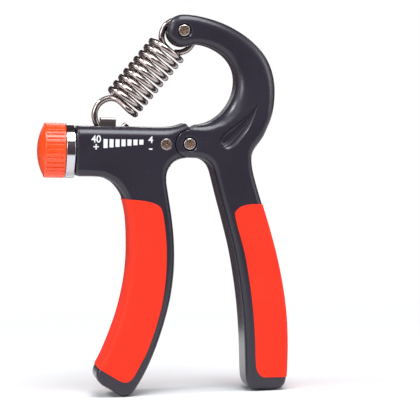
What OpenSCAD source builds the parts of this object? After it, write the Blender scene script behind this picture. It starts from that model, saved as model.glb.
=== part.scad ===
// Adjustable hand grip strengthener: two hinged levers held apart by an extension spring,
// whose lower hook travels on a screw inside the left lever's housing.
// Every module is drawn with the hinge axis at the origin and the adjuster screw along X.
// set_down() then tilts and lifts the whole object on to the ends of its two handles.

/* [Levers] */
// Thickness of both levers across the hand
body_t = 21; // [20:0.5:24]
// Radius that softens the long edges of the levers
edge_r = 2.8; // [1.5:0.1:3.2]
// Distance from the hinge axis down to the lower end of the handles
grip_l = 98; // [90:1:110]
// Height of the adjuster housing
house_h = 19.4; // [18.6:0.2:22]
// Distance from the hinge axis to the open end of the housing
house_l = 43.5; // [42.5:0.5:48]
// Distance that the adjuster screw lies below the hinge axis
screw_drop = 3.5; // [3.4:0.1:4]
// Half thickness of the spring arm where it holds the spring
arm_half_t = 7; // [6.5:0.25:9]
// Radius of the forked end of the spring arm
head_r = 6.3; // [5.8:0.1:7]
// Radius that softens the forked end of the spring arm
head_edge_r = 3.6; // [2.8:0.1:4]

/* [Hinge] */
// Radius of the round hinge cheeks
cheek_r = 5.4; // [5:0.1:5.6]
// Thickness of the hinge tongue
tongue_t = 10; // [8:0.5:11]
// Gap round the hinge cheeks and the tongue
hinge_gap = 0.3; // [0.2:0.05:0.5]
// Thickness of a hinge washer
washer_t = 0.4; // [0.3:0.1:0.6]
// Radius of the hollow rivets
pin_r = 2.2; // [1.8:0.1:2.3]
// Radius of the dimple in a rivet's end
dimple_r = 1.5; // [1:0.1:1.6]
// Depth of the dimple in a rivet's end
dimple_depth = 1; // [0.5:0.1:2]
// Width of the ring sunk round a rivet's end
sink_w = 0.4; // [0.3:0.05:0.6]
// Depth of the ring sunk round a rivet's end
sink_depth = 0.9; // [0.5:0.1:1.5]
// Radial clearance of pins and shafts that turn
run_gap = 0.05; // [0.03:0.01:0.08]

/* [Rubber inlays] */
// Thickness of the rubber inlays
pad_t = 2.4; // [1.5:0.1:3]
// Height by which the rubber stands proud of the lever
pad_proud = 0.25; // [0.1:0.05:0.5]
// Border of lever left between the rubber and the handle's inner edge
pad_border = 3.2; // [2.5:0.1:4.5]

/* [Adjuster] */
// Radius of the knob
knob_r = 10.6; // [10:0.1:11.5]
// Length of the knob's fluted grip
flute_l = 6.8; // [5:0.2:8]
// Number of flutes round the knob
flute_count = 34; // [24:2:40]
// Radius of a flute
flute_r = 0.55; // [0.4:0.05:0.7]
// Length of the plain band before the knob's domed end
band_l = 0.7; // [0.5:0.1:1.5]
// Height of the knob's domed end
dome_h = 2.6; // [1.5:0.1:4]
// Radius of the bright ring
ring_r = 10.5; // [10:0.1:11]
// Length of the bright ring
ring_l = 3.7; // [3:0.1:5]
// Radius of the adjuster screw
screw_r = 3; // [2.6:0.1:3.1]
// Pitch of the adjuster screw
thread_pitch = 1; // [0.8:0.05:1.25]
// Depth of the adjuster screw's thread
thread_depth = 0.4; // [0.2:0.05:0.5]
// Width and height of the channel in the housing
channel_w = 11.2; // [10.8:0.2:11.6]
// Sliding clearance of what moves or fits in the channel
slide_gap = 0.1; // [0.05:0.01:0.15]
// Length of the bush in the housing's mouth
bush_l = 4.5; // [4:0.25:5]
// Length of the travelling nut
nut_l = 6; // [5:0.5:7]
// Width of the slot along the top of the housing
slot_w = 7.4; // [7.2:0.1:8]
// Distance from the hinge axis to the near end of the slot
slot_near = 10.5; // [10:0.1:11]
// Greatest distance from the hinge axis to the middle of the saddle
saddle_rest = 31; // [30.5:0.1:31.5]
// Length of the saddle's bar along the slot
saddle_l = 5.8; // [5:0.1:6]
// Width of the saddle across the slot
saddle_w = 6.8; // [6.4:0.1:7]
// Height of the saddle above the housing
saddle_h = 3.3; // [3:0.1:4]
// Thickness of the saddle's bar
bar_t = 2.1; // [1.8:0.1:2.2]

/* [Spring] */
// Diameter of the spring wire
wire_d = 2.4; // [2:0.1:2.4]
// Radius of the coils at the middle of the wire
coil_r = 6.7; // [6.3:0.1:7]
// Number of whole turns between the hook and the loop, to which half a turn is added
coil_turns = 9; // [7:1:9]
// Distance from one turn to the next
coil_pitch = 3.06; // [2.9:0.02:3.2]
// Radius of the upper loop at the middle of the wire
loop_r = 6.3; // [6:0.1:6.5]
// Radius of the lower hook at the middle of the wire
hook_r = 6.66; // [6.4:0.02:6.8]

/* [Hidden] */
$fn = 64;

charcoal = [0.13, 0.13, 0.16];
orange = [0.95, 0.25, 0.1];
knob_orange = [0.95, 0.35, 0.12];
steel = [0.72, 0.7, 0.68];
chrome = [0.86, 0.86, 0.88];
nylon = [0.85, 0.84, 0.78];

// Amount by which a cutting solid passes a face
over = 1;
// Points on each softened edge, and points that a curve gets between two of its knots
edge_steps = 3;
curve_steps = 3;

house_top = house_h / 2 - screw_drop;
house_bottom = -house_h / 2 - screw_drop;
half_t = body_t / 2;
// Lower end of the handles that the knots below are written for
drawn_l = 98;
// Height where the handles begin
knee_z = -14;

// Tilt that stands both handles level
stand_tilt = 2.76;

// The nut stops short of the retaining clip, which sits behind the bush
clip_t = 0.8;
clip_at = house_l - bush_l - 0.1;
saddle_far = min(saddle_rest, clip_at - clip_t - nut_l / 2 - 0.3);
// Distance from the hinge axis to the far end of the slot
slot_far = saddle_far + saddle_l / 2 + slot_w / 2 + 0.8;

// Inner end of the flat under the right handle, and its width
right_foot = [28.2, -95.4];
right_foot_w = 7.2;

// ---- Curves -------------------------------------------------------------------------------

// A point of a handle, drawn in or out with the handle's length
function drawn(x, z) = [x, z < knee_z ? knee_z + (z - knee_z) * (grip_l + knee_z) / (drawn_l + knee_z) : z];

function between(a, b, c, d, t) =
    0.5 * (2 * b + (c - a) * t + (2 * a - 5 * b + 4 * c - d) * t * t + (3 * b - a - 3 * c + d) * t * t * t);

// A smooth closed curve through its knots
function smooth_loop(knots, steps) =
    let (n = len(knots))
    [for (i = [0 : n - 1]) for (k = [0 : steps - 1])
        between(knots[(i + n - 1) % n], knots[i], knots[(i + 1) % n], knots[(i + 2) % n], k / steps)];

// A smooth open run of rows, where a row is a list of numbers
function smooth_rows(rows, steps) =
    let (n = len(rows))
    concat(
        [for (i = [0 : n - 2]) for (k = [0 : steps - 1])
            between(rows[max(i - 1, 0)], rows[i], rows[i + 1], rows[min(i + 2, n - 1)], k / steps)],
        [rows[n - 1]]);

function unit(v) = v / norm(v);

// A closed outline moved inwards by d, for points that run anticlockwise
function inset(points, d) =
    let (n = len(points))
    [for (i = [0 : n - 1])
        let (
            a = unit(points[i] - points[(i + n - 1) % n]),
            b = unit(points[(i + 1) % n] - points[i]),
            inward = unit([-a[1] - b[1], a[0] + b[0]]),
            stretch = max(0.7, inward * [-a[1], a[0]])
        )
        points[i] + inward * d / stretch];

// ---- Shells -------------------------------------------------------------------------------

// Faces between n rings of m points each
function band_faces(n, m) = [for (i = [0 : n - 2]) for (j = [0 : m - 1]) for (half = [0, 1])
    half == 0
        ? [i * m + j, i * m + (j + 1) % m, (i + 1) * m + (j + 1) % m]
        : [i * m + j, (i + 1) * m + (j + 1) % m, (i + 1) * m + j]];

// Faces of a tube of n rings, closed by flat convex ends
function tube_faces(n, m) =
    concat(band_faces(n, m), [[for (j = [m - 1 : -1 : 0]) j], [for (j = [0 : m - 1]) (n - 1) * m + j]]);

function turn(a, b, c) = (b[0] - a[0]) * (c[1] - a[1]) - (b[1] - a[1]) * (c[0] - a[0]);

// Whether corner k of the outline left in ids can be cut off as a triangle
function is_ear(points, ids, k) =
    let (n = len(ids), a = points[ids[(k + n - 1) % n]], b = points[ids[k]], c = points[ids[(k + 1) % n]])
    turn(a, b, c) > 0.0001 && len([for (j = [k + 2 : k + n - 2])
        let (p = points[ids[j % n]])
        if (turn(a, b, p) >= 0 && turn(b, c, p) >= 0 && turn(c, a, p) >= 0) 1]) == 0;
function first_ear(points, ids, k = 0) = is_ear(points, ids, k) ? k : first_ear(points, ids, k + 1);

// Triangles that fill an outline whose points run anticlockwise
function fill(points, ids) =
    let (n = len(ids))
    n == 3 ? [ids] : let (k = first_ear(points, ids))
        concat([[ids[(k + n - 1) % n], ids[k], ids[(k + 1) % n]]],
            fill(points, [for (j = [0 : n - 1]) if (j != k) ids[j]]));

// A plate of an outline in X and Z, half_y to each side of the middle, with softened edges
module soft_plate(outline, half_y, r) {
    rises = [for (k = [0 : edge_steps]) 90 * k / edge_steps];
    front = [for (a = rises)
        [for (p = inset(outline, r * (1 - sin(a)))) [p[0], -half_y + r * (1 - cos(a)), p[1]]]];
    back = [for (i = [edge_steps : -1 : 0]) [for (p = front[i]) [p[0], -p[1], p[2]]]];
    rings = concat(front, back);
    m = len(outline);
    caps = fill(inset(outline, r), [for (j = [0 : m - 1]) j]);
    last = (len(rings) - 1) * m;
    polyhedron([for (ring = rings) each ring], concat(
        band_faces(len(rings), m),
        [for (t = caps) [t[2], t[1], t[0]]],
        [for (t = caps) [last + t[0], last + t[1], last + t[2]]]));
}

// One section of a ribbon: a rectangle with soft corners from the inner point to the outer point
function section(row, grow) =
    let (
        inner = [row[0], row[1]],
        outer = [row[2], row[3]],
        across = unit(outer - inner),
        w = norm(outer - inner) + 2 * grow,
        h = min(row[4], half_t) + grow,
        c = min(row[5], w * 0.45),
        d = min(row[6], w * 0.45),
        start = inner - across * grow
    )
    [for (corner = [[w - d, d - h, d, 270], [c, c - h, c, 180], [c, h - c, c, 90], [w - d, h - d, d, 0]])
        for (k = [edge_steps : -1 : 0])
            let (
                a = corner[3] + 90 * k / edge_steps,
                s = corner[0] + corner[2] * cos(a),
                p = start + across * s
            )
            [p[0], corner[1] + corner[2] * sin(a), p[1]]];

// A ribbon through rows of [inner x, inner z, outer x, outer z, half thickness, inner radius, outer radius]
module ribbon(rows, grow) {
    rings = [for (row = rows) section(row, grow)];
    polyhedron([for (ring = rings) each ring], tube_faces(len(rings), len(rings[0])));
}

// A cylinder across the levers, from y0 to y1, at a place in X and Z
module across(place, r, y0, y1) {
    translate([place[0], y1, place[1]]) rotate([90, 0, 0]) cylinder(r = r, h = y1 - y0);
}

// An outline in X and Z carried from y0 to y1
module prism(points, y0, y1) {
    translate([0, y1, 0]) rotate([90, 0, 0]) linear_extrude(y1 - y0) polygon(points);
}

// A block given by its lowest and highest corners
module block(low, high) {
    translate(low) cube(high - low);
}

// A turned piece on the screw axis from a profile of [distance along -X, radius]
module turned(profile) {
    translate([0, 0, -screw_drop]) rotate([0, -90, 0]) rotate_extrude()
        polygon([for (p = profile) [p[1], p[0]]]);
}

// ---- Places -------------------------------------------------------------------------------

pivot = [0, 0];
cross_at = [-9.1, -0.3];
anchor_at = [-2.5, 43.7];
hook_at = [1.5 - saddle_far, house_top + 4.2];

// ---- Left lever ---------------------------------------------------------------------------

// Rows of the left handle from the top down: inner edge, then outer edge
left_rows = [
    [-8.7, -14, -28.4, -16], [-7.6, -21, -24.8, -21], [-6.4, -28, -23, -28], [-5.4, -36, -22.3, -36.5],
    [-5, -44, -22.3, -46], [-5.3, -52, -23.3, -55.5], [-6.5, -61, -25.6, -66], [-8.8, -70.5, -28.6, -75],
    [-11.9, -80, -31.6, -82.5]
];
left_inner = [for (row = left_rows) drawn(row[0], row[1])];
left_outer = [for (row = left_rows) drawn(row[2], row[3])];
// Foot of the left handle, from the outer side to the inner side
left_foot = [
    drawn(-34.2, -88.1), drawn(-34.4, -91), drawn(-32.5, -93.4), drawn(-29.5, -95.1), drawn(-26.4, -96.9),
    drawn(-24, -97.9), drawn(-21.5, -97.3), drawn(-19.5, -95.3), drawn(-15.6, -88.5)
];

left_knots = concat(
    [[-house_l - 6, house_bottom], [-house_l + 4, house_bottom], [-33.2, house_bottom - 0.2]],
    left_outer,
    left_foot,
    [for (i = [len(left_inner) - 1 : -1 : 0]) left_inner[i]],
    [[-8.2, -10.4], [-6.4, -7.5], [-3.5, -5.9], [0, -cheek_r], [4, -cheek_r], [8, -4], [9.5, 0], [8.6, 5]],
    [[4.4, house_top + 2.6], [0.5, house_top + 2.3], [-2, house_top + 1.4], [-5, house_top + 0.5]],
    [[-9, house_top], [-16, house_top], [-30, house_top], [-house_l + 2, house_top]],
    [[-house_l - 6, house_top]],
    [[-house_l - 9, house_top - 4], [-house_l - 9.6, -screw_drop], [-house_l - 9, house_bottom + 4]]);

// The side of the hinge's V gap that the left lever doesn't reach
v_root = [0.15, cheek_r + 0.9];
beyond_left = [
    [v_root[0] - 0.3, -30], [v_root[0] - 0.3, v_root[1]], [v_root[0] - 4.8, v_root[1] + 3.9],
    [v_root[0] - 4.8, 30], [50, 30], [50, -30]
];
beyond_right = [
    [v_root[0], -30], [v_root[0], v_root[1]], [v_root[0] + 3.6, v_root[1] + 3.9],
    [v_root[0] + 3.6, 20], [-50, 20], [-50, -30]
];

// Rubber inlay outline of a handle: along its inner edge, then out past its outer edge
left_pad_outline = concat(
    smooth_rows(concat(
        [[-40, -20.5], [-24, -21.7], [-17, -22.3], [-12.4, -23.6], [-10.1, -26.4]],
        [for (i = [3 : len(left_rows) - 1])
            left_inner[i] + unit(left_outer[i] - left_inner[i]) * pad_border],
        [drawn(-17.4, -85.1), drawn(-20, -90), drawn(-22.2, -92.2), drawn(-24.9, -92.1), drawn(-30, -89.3),
            drawn(-42, -82.2)]
    ), curve_steps),
    [[-60, -60]]);
left_core_outline = concat(
    [[20, -10], [-30, -10]],
    [for (p = smooth_rows(concat(left_outer, [left_foot[0], left_foot[2]]), curve_steps)) p + [pad_t, 0.2]],
    [[-20, -grip_l - 6], [20, -grip_l - 6]]);

module left_solid(grow) {
    soft_plate(inset(smooth_loop(left_knots, curve_steps), -grow), half_t + grow, edge_r);
}

module pad_bed(pad, core) {
    difference() {
        prism(pad, -half_t - over, half_t + over);
        prism(core, pad_t - half_t, half_t - pad_t);
    }
}

module channel(clear, x0, x1) {
    half = channel_w / 2 - clear;
    block([x0, -half, -screw_drop - half], [x1, half, -screw_drop + half]);
}

module rivet_hole(place, face, clear) {
    across(place, pin_r + clear, -face - over, face + over);
}

module rivet_sink(place, face) {
    across(place, pin_r + sink_w, face - sink_depth, face + over);
    across(place, pin_r + sink_w, -face - over, sink_depth - face);
}

module left_frame() {
    color(charcoal) difference() {
        left_solid(0);
        // Flat mouth of the housing
        block([-house_l - 20, -half_t - over, house_bottom - over],
            [-house_l, half_t + over, house_top + over]);
        // Hinge: cheeks of the other lever turn to either side of the tongue
        difference() {
            prism(beyond_left, -half_t - over, half_t + over);
            across(pivot, cheek_r, -tongue_t / 2, tongue_t / 2);
        }
        across(pivot, cheek_r + hinge_gap, tongue_t / 2, half_t + over);
        across(pivot, cheek_r + hinge_gap, -half_t - over, -tongue_t / 2);
        rivet_hole(pivot, half_t, run_gap);
        // Channel, slot and cross pin of the adjuster
        channel(0, -house_l - over, -6.6);
        block([-slot_far + slot_w / 2, -slot_w / 2, -screw_drop],
            [-slot_near - slot_w / 2, slot_w / 2, house_top + 2]);
        for (x = [-slot_far + slot_w / 2, -slot_near - slot_w / 2])
            translate([x, 0, -screw_drop]) cylinder(r = slot_w / 2, h = house_h);
        rivet_hole(cross_at, half_t, 0);
        pad_bed(left_pad_outline, left_core_outline);
    }
}

module left_grip() {
    color(orange) difference() {
        intersection() {
            left_solid(pad_proud);
            prism(left_pad_outline, -half_t - over, half_t + over);
        }
        prism(left_core_outline, pad_t - half_t, half_t - pad_t);
    }
}

// ---- Right lever --------------------------------------------------------------------------

// Rows of the right lever from its foot up to the spring: inner x, inner z, outer x, outer z, thickness
right_handle = [
    [right_foot[0], right_foot[1], right_foot[0] + right_foot_w,
        right_foot[1] + right_foot_w * tan(stand_tilt), -2.3],
    [25.6, -94.6, 37.9, -94.1, -0.8], [24.1, -92.4, 39.4, -92, -0.1],
    [23.6, -89, 39.8, -88.6, 0], [23.3, -83, 39.9, -83, 0], [22.9, -75, 39.8, -75, 0],
    [22, -64.5, 39.1, -65, 0], [20.4, -53, 37.4, -54, 0], [18.1, -41, 34.8, -42.5, 0],
    [15.2, -30, 31.6, -31.5, 0], [12.5, -20.5, 28.2, -21, 0], [10.6, -13.5, 25.7, -13, 0]
];
right_hinge = [
    [9.3, -9.2, 24.7, -8.8, 0], [7, -6.6, 24.4, -5.6, 0], [3.4, -5.4, 24.6, -3.6, 0],
    [-5, -5.4, 25.3, -1.8, 0], [-9, 0.4, 26.7, 0.2, 0], [-5, 6.7, 28.3, 2.4, 0],
    [1.2, 7.2, 29.4, 4.4, 0], [6.3, 7.7, 30.6, 7.2, -0.1]
];
// The arm's rows also give the radii of its inner and outer edges
right_arm = [
    [11.2, 10.1, 32.3, 11.4, -0.17, 2.8, 3.4], [15.1, 14.2, 33.3, 17, -0.37, 2.6, 4],
    [17.6, 19.3, 33.4, 23.3, -0.6, 2.3, 4.4], [18.3, 24.8, 32.2, 29.2, -0.8, 2.1, 4.6],
    [17.2, 29.8, 29.7, 34.4, -0.92, 2.1, 4.6], [14.2, 33.9, 25.6, 39.1, -1, 2.1, 4.6],
    [9.9, 36.8, 19.8, 43.5, -1, 2.2, 4.4], [5.6, 38.3, 12.9, 46.9, -1, 2.4, 4],
    [1.8, 38.5, 6.4, 48.8, -1, 3, 3.8], [-2.5, 37.4, -1.2, 49.9, -1, 3.6, 3.6]
];
right_rows = smooth_rows(concat(
    [for (row = right_handle) let (a = drawn(row[0], row[1]), b = drawn(row[2], row[3]))
        [a[0], a[1], b[0], b[1], half_t + row[4], edge_r, edge_r]],
    [for (row = right_hinge) [row[0], row[1], row[2], row[3], half_t + row[4], edge_r, edge_r]],
    [for (row = right_arm)
        [row[0], row[1], row[2], row[3], half_t + row[4] * (half_t - arm_half_t), row[5], row[6]]]
), curve_steps);

// Rubber inlay of the right handle
right_pad_outline = concat(
    smooth_rows(concat(
        [[45, -22.5], [29.5, -22.8], [22.5, -23.2], [18.8, -25.2], [18.3, -28.6]],
        [for (i = [8 : -1 : 4]) let (
                inner = drawn(right_handle[i][0], right_handle[i][1]),
                outer = drawn(right_handle[i][2], right_handle[i][3])
            )
            inner + unit(outer - inner) * (pad_border + 0.7)],
        [drawn(27.8, -87.4), drawn(29.9, -89.9), drawn(34, -90.1), drawn(50, -89.7)]
    ), curve_steps),
    [[60, -60]]);
right_core_outline = concat(
    [[0, -8], [28, -8]],
    [for (i = [11 : -1 : 2]) drawn(right_handle[i][2] - pad_t, right_handle[i][3])],
    [drawn(34, -97), drawn(0, -97)]);

// Scoop in the arm above the handle, rounded below and pointed above
scoop_outline = smooth_loop([
    [26.3, 15.4], [24, 13.3], [20.4, 10.1], [16.4, 7.1], [13, 4.5], [11.6, 2], [12.2, -0.5], [14.4, -1.8],
    [17.4, -0.5], [20.6, 3.1], [23.4, 7.4], [25.4, 12]
], curve_steps);
scoop_depth = 1.8;

module right_solid(grow) {
    ribbon(right_rows, grow);
}

module arm_head() {
    r = head_edge_r;
    steps = [for (k = [0 : 4]) 90 * k / 4];
    profile = concat(
        [[0, -arm_half_t]],
        [for (a = steps) [head_r - r + r * sin(a), -arm_half_t + r - r * cos(a)]],
        [for (i = [4 : -1 : 0]) [head_r - r + r * sin(steps[i]), arm_half_t - r + r * cos(steps[i])]],
        [[0, arm_half_t]]);
    translate([anchor_at[0], 0, anchor_at[1]]) rotate([90, 0, 0]) rotate_extrude() polygon(profile);
}

// Gap in the forked end that the spring's loop swings in
fork_gap = wire_d + 0.6;
fork_r = 9.6;

module right_frame() {
    color(charcoal) difference() {
        union() {
            right_solid(0);
            arm_head();
        }
        // Hinge: the tongue turns between the cheeks
        difference() {
            prism(beyond_right, -half_t - over, half_t + over);
            across(pivot, cheek_r, -half_t - 2 * over, half_t + 2 * over);
        }
        across(pivot, cheek_r + hinge_gap, -tongue_t / 2 - washer_t - run_gap,
            tongue_t / 2 + washer_t + run_gap);
        rivet_hole(pivot, half_t, 0);
        rivet_sink(pivot, half_t);
        // Fork and rivet of the spring's loop
        across(anchor_at, fork_r, -fork_gap / 2, fork_gap / 2);
        rivet_hole(anchor_at, arm_half_t, run_gap);
        rivet_sink(anchor_at, arm_half_t);
        for (side = [-1, 1])
            prism(scoop_outline, side > 0 ? half_t - scoop_depth : -half_t - over,
                side > 0 ? half_t + over : scoop_depth - half_t);
        pad_bed(right_pad_outline, right_core_outline);
    }
}

module right_grip() {
    color(orange) difference() {
        intersection() {
            right_solid(pad_proud);
            prism(right_pad_outline, -half_t - over, half_t + over);
        }
        prism(right_core_outline, pad_t - half_t, half_t - pad_t);
    }
}

// ---- Rivets and washers -------------------------------------------------------------------

module rivet(place, half_l) {
    color(steel) difference() {
        across(place, pin_r, -half_l, half_l);
        across(place, dimple_r, half_l - dimple_depth, half_l + over);
        across(place, dimple_r, -half_l - over, dimple_depth - half_l);
    }
}

module pivot_pin() {
    rivet(pivot, half_t - 0.1);
}

module cross_pin() {
    rivet(cross_at, half_t - 0.1);
}

module anchor_pin() {
    rivet(anchor_at, arm_half_t - 0.1);
}

module pivot_washers() {
    color(nylon) for (side = [-1, 1])
        difference() {
            mid = side * (tongue_t / 2 + run_gap / 2 + washer_t / 2);
            across(pivot, cheek_r - 0.4, mid - washer_t / 2, mid + washer_t / 2);
            across(pivot, pin_r, mid - washer_t, mid + washer_t);
        }
}

// ---- Adjuster -----------------------------------------------------------------------------

// Distances along -X from the hinge axis
ring_at = house_l + 0.3;
knob_at = ring_at + ring_l;
lip_l = 0.6;
flute_end = knob_at + lip_l + flute_l;
dome_at = flute_end + band_l;
insert_r = 6;
flange_r = 7.5;
insert_end = knob_at + 6;
screw_head_r = 3.2;
screw_head_l = 1.6;
thrust_t = 0.8;
neck_r = screw_r - 0.5;
tail_at = 15.4;
tail_end = 6.8;
screw_end = 12.4;
thread_from = tail_at + 1;
thread_to = clip_at - clip_t - 1;

module adjuster_knob() {
    dome_steps = 6;
    dome_r = knob_r - 0.5;
    // Radius of the sphere whose cap is the dome
    ball_r = (dome_r * dome_r + dome_h * dome_h) / (2 * dome_h);
    color(knob_orange) difference() {
        turned(concat(
            [[knob_at, 0], [knob_at, knob_r - 0.3], [knob_at + 0.3, knob_r], [dome_at - 0.4, knob_r],
                [dome_at, dome_r]],
            [for (k = [1 : dome_steps])
                let (r = dome_r * (1 - k / dome_steps))
                [dome_at + sqrt(ball_r * ball_r - r * r) - (ball_r - dome_h), r]]));
        for (k = [0 : flute_count - 1])
            translate([-knob_at - lip_l, 0, -screw_drop]) rotate([360 * k / flute_count, 0, 0])
                translate([0, knob_r + 0.15, 0]) rotate([0, -90, 0])
                    cylinder(r = flute_r, h = flute_l, $fn = 16);
        turned([[knob_at - over, 0], [knob_at - over, insert_r], [insert_end, insert_r],
            [insert_end, screw_head_r + 0.4], [insert_end + screw_head_l + 0.4, screw_head_r + 0.4],
            [insert_end + screw_head_l + 0.4, 0]]);
    }
}

module knob_insert() {
    color(steel) turned([[house_l + thrust_t, screw_r], [house_l + thrust_t, flange_r], [knob_at, flange_r],
        [knob_at, insert_r], [insert_end, insert_r], [insert_end, screw_r]]);
}

module knob_screw() {
    tip_l = 6;
    color(steel) turned([[insert_end - tip_l, 0], [insert_end - tip_l, screw_r / 2], [insert_end, screw_r / 2],
        [insert_end, screw_head_r], [insert_end + screw_head_l - 0.4, screw_head_r],
        [insert_end + screw_head_l, screw_head_r - 0.6], [insert_end + screw_head_l, 0]]);
}

module knob_ring() {
    color(chrome) turned([[ring_at, flange_r], [ring_at, ring_r - 0.3], [ring_at + 0.3, ring_r],
        [knob_at - 0.3, ring_r], [knob_at, ring_r - 0.3], [knob_at, flange_r]]);
}

module thrust_washer() {
    color(nylon) turned([[house_l, screw_r], [house_l, flange_r - 0.5], [house_l + thrust_t, flange_r - 0.5],
        [house_l + thrust_t, screw_r]]);
}

module end_bush() {
    color(nylon) difference() {
        channel(0.02, -house_l, -house_l + bush_l);
        turned([[house_l - bush_l - over, 0], [house_l - bush_l - over, screw_r + run_gap],
            [house_l + over, screw_r + run_gap], [house_l + over, 0]]);
    }
}

module adjuster_screw() {
    turns = floor((thread_to - thread_from) / thread_pitch);
    root = screw_r - thread_depth;
    color(steel) difference() {
        turned(concat(
            [[screw_end, 0], [screw_end, screw_r - 0.5], [screw_end + 0.5, screw_r]],
            [for (k = [0 : turns - 1]) each [
                [thread_from + k * thread_pitch, screw_r],
                [thread_from + (k + 0.5) * thread_pitch, root]
            ]],
            [[thread_from + turns * thread_pitch, screw_r], [clip_at - clip_t, screw_r],
                [clip_at - clip_t, neck_r], [clip_at, neck_r], [clip_at, screw_r],
                [insert_end, screw_r], [insert_end, 0]]));
        turned([[insert_end - 6, 0], [insert_end - 6, screw_r / 2], [insert_end + over, screw_r / 2],
            [insert_end + over, 0]]);
    }
}

module screw_clip() {
    clip_r = screw_r + 1.4;
    color(steel) difference() {
        turned([[clip_at - clip_t + 0.05, neck_r], [clip_at - clip_t + 0.05, clip_r],
            [clip_at - 0.05, clip_r], [clip_at - 0.05, neck_r]]);
        block([-clip_at - over, -neck_r * 0.8, -screw_drop - clip_r - over],
            [-clip_at + clip_t + over, neck_r * 0.8, -screw_drop]);
    }
}

// The saddle stands on the nut, and its foot stays under the channel's roof
saddle_foot_t = 1.2;
nut_top = channel_w / 2 - screw_drop - 0.5 - saddle_foot_t;

module slider_nut() {
    half = channel_w / 2 - slide_gap;
    color(steel) difference() {
        block([-saddle_far - nut_l / 2, -half, -screw_drop - half], [-saddle_far + nut_l / 2, half, nut_top]);
        turned([[saddle_far - nut_l, 0], [saddle_far - nut_l, screw_r + run_gap],
            [saddle_far + nut_l, screw_r + run_gap], [saddle_far + nut_l, 0]]);
    }
}

module hook_saddle() {
    half_l = saddle_l / 2;
    bar_top = house_top + saddle_h;
    tunnel_half = wire_d / 2 + 0.4;
    corner = 0.8;
    color(steel) difference() {
        union() {
            block([-saddle_far - nut_l / 2, -slot_w / 2 - 1.2, nut_top],
                [-saddle_far + nut_l / 2, slot_w / 2 + 1.2, nut_top + saddle_foot_t]);
            block([-saddle_far - half_l, -saddle_w / 2, nut_top + saddle_foot_t],
                [-saddle_far + half_l, saddle_w / 2, bar_top - corner]);
            block([-saddle_far - half_l, corner - saddle_w / 2, bar_top - corner - 0.1],
                [-saddle_far + half_l, saddle_w / 2 - corner, bar_top]);
            for (side = [-1, 1])
                translate([-saddle_far - half_l, side * (saddle_w / 2 - corner), bar_top - corner])
                    rotate([0, 90, 0]) cylinder(r = corner, h = saddle_l);
        }
        block([-saddle_far - nut_l, -tunnel_half, nut_top + saddle_foot_t],
            [-saddle_far + nut_l, tunnel_half, bar_top - bar_t]);
    }
}

module tail_bearing() {
    half = channel_w / 2 - 0.02;
    color(nylon) difference() {
        channel(0.02, -tail_at, -tail_end);
        turned([[screw_end - 0.2, 0], [screw_end - 0.2, screw_r + run_gap],
            [tail_at + over, screw_r + run_gap], [tail_at + over, 0]]);
        across(cross_at, pin_r, -half - over, half + over);
        block([cross_at[0] - pin_r - 1.4, -half - over, cross_at[1]],
            [-tail_end + over, half + over, house_top]);
    }
}

// ---- Spring -------------------------------------------------------------------------------

hook_line = hook_at - anchor_at;
down_axis = unit(hook_line);
side_axis = [-down_axis[1], down_axis[0]];
// Distances down the spring's axis from the anchor rivet
loop_mid = loop_r - wire_d / 2 - pin_r - 0.1;
hook_mid = norm(hook_line);
last_angle = 90 + coil_turns * 360;
coil_span = (coil_turns + 0.5) * coil_pitch;
coil_top = 8.4;
// Angles over which the wire leaves the coils for the hook and for the loop
bend = 60;
hook_tip = -370;
loop_tip = last_angle + 335;

function ease(t) = let (c = min(max(t, 0), 1)) c * c * (3 - 2 * c);
function to_hook(a) = ease((-90 + bend - a) / (2 * bend));
function to_loop(a) = ease((a - last_angle + bend) / (2 * bend));
function coil_at(a) = coil_top + coil_span * (last_angle - a) / (last_angle + 90);

// A point of the wire: across the axis, through the thickness, and down the axis
function wire_point(a) =
    let (
        h = to_hook(a),
        l = to_loop(a),
        r = coil_r + h * (hook_r - coil_r) + l * (loop_r - coil_r),
        flat = h + l
    )
    [r * cos(a), r * sin(a) * (1 - flat),
        (1 - flat) * coil_at(a) + h * (hook_mid + hook_r * sin(a)) + l * (loop_mid + loop_r * sin(a))];
// The way from the middle of the turn to the wire
function wire_out(a) =
    let (flat = to_hook(a) + to_loop(a))
    [cos(a), sin(a) * (1 - flat), sin(a) * flat];

wire_angles = concat(
    [for (a = [hook_tip : 20 : -90 - bend - 1]) a],
    [for (a = [-90 - bend : 15 : -90 + bend - 1]) a],
    [for (a = [-90 + bend : 45 : last_angle - bend - 1]) a],
    [for (a = [last_angle - bend : 15 : last_angle + bend]) a],
    [for (a = [last_angle + bend + 20 : 20 : loop_tip]) a]);

function in_place(p) =
    let (q = anchor_at + down_axis * p[2] + side_axis * p[0])
    [q[0], p[1], q[1]];

wire_sides = 6;
wire_points = [for (a = wire_angles) in_place(wire_point(a))];
wire_rings = [for (a = wire_angles)
    let (
        along = unit(wire_point(a + 2) - wire_point(a - 2)),
        out = wire_out(a),
        first = unit(out - along * (out * along)),
        second = cross(along, first)
    )
    [for (k = [0 : wire_sides - 1])
        let (t = 360 * k / wire_sides)
        in_place(wire_point(a) + wire_d / 2 * (first * cos(t) + second * sin(t)))]];

// Least gap of the wire to itself, between points over half a turn apart
fine_angles = [for (a = [hook_tip : 10 : loop_tip]) a];
fine_points = [for (a = fine_angles) wire_point(a)];
least_gap = min([for (i = [0 : len(fine_angles) - 20]) for (j = [i + 19 : min(i + 60, len(fine_angles) - 1)])
    norm(fine_points[i] - fine_points[j]) - wire_d]);
echo(spring_least_gap = least_gap);

module tension_spring() {
    color(chrome) polyhedron([for (ring = wire_rings) each ring], tube_faces(len(wire_rings), wire_sides));
}

// ---- Whole object -------------------------------------------------------------------------

// A point in X and Z once the object is tilted
function tilted(p) =
    [p[0] * cos(stand_tilt) + p[1] * sin(stand_tilt), p[1] * cos(stand_tilt) - p[0] * sin(stand_tilt)];

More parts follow.
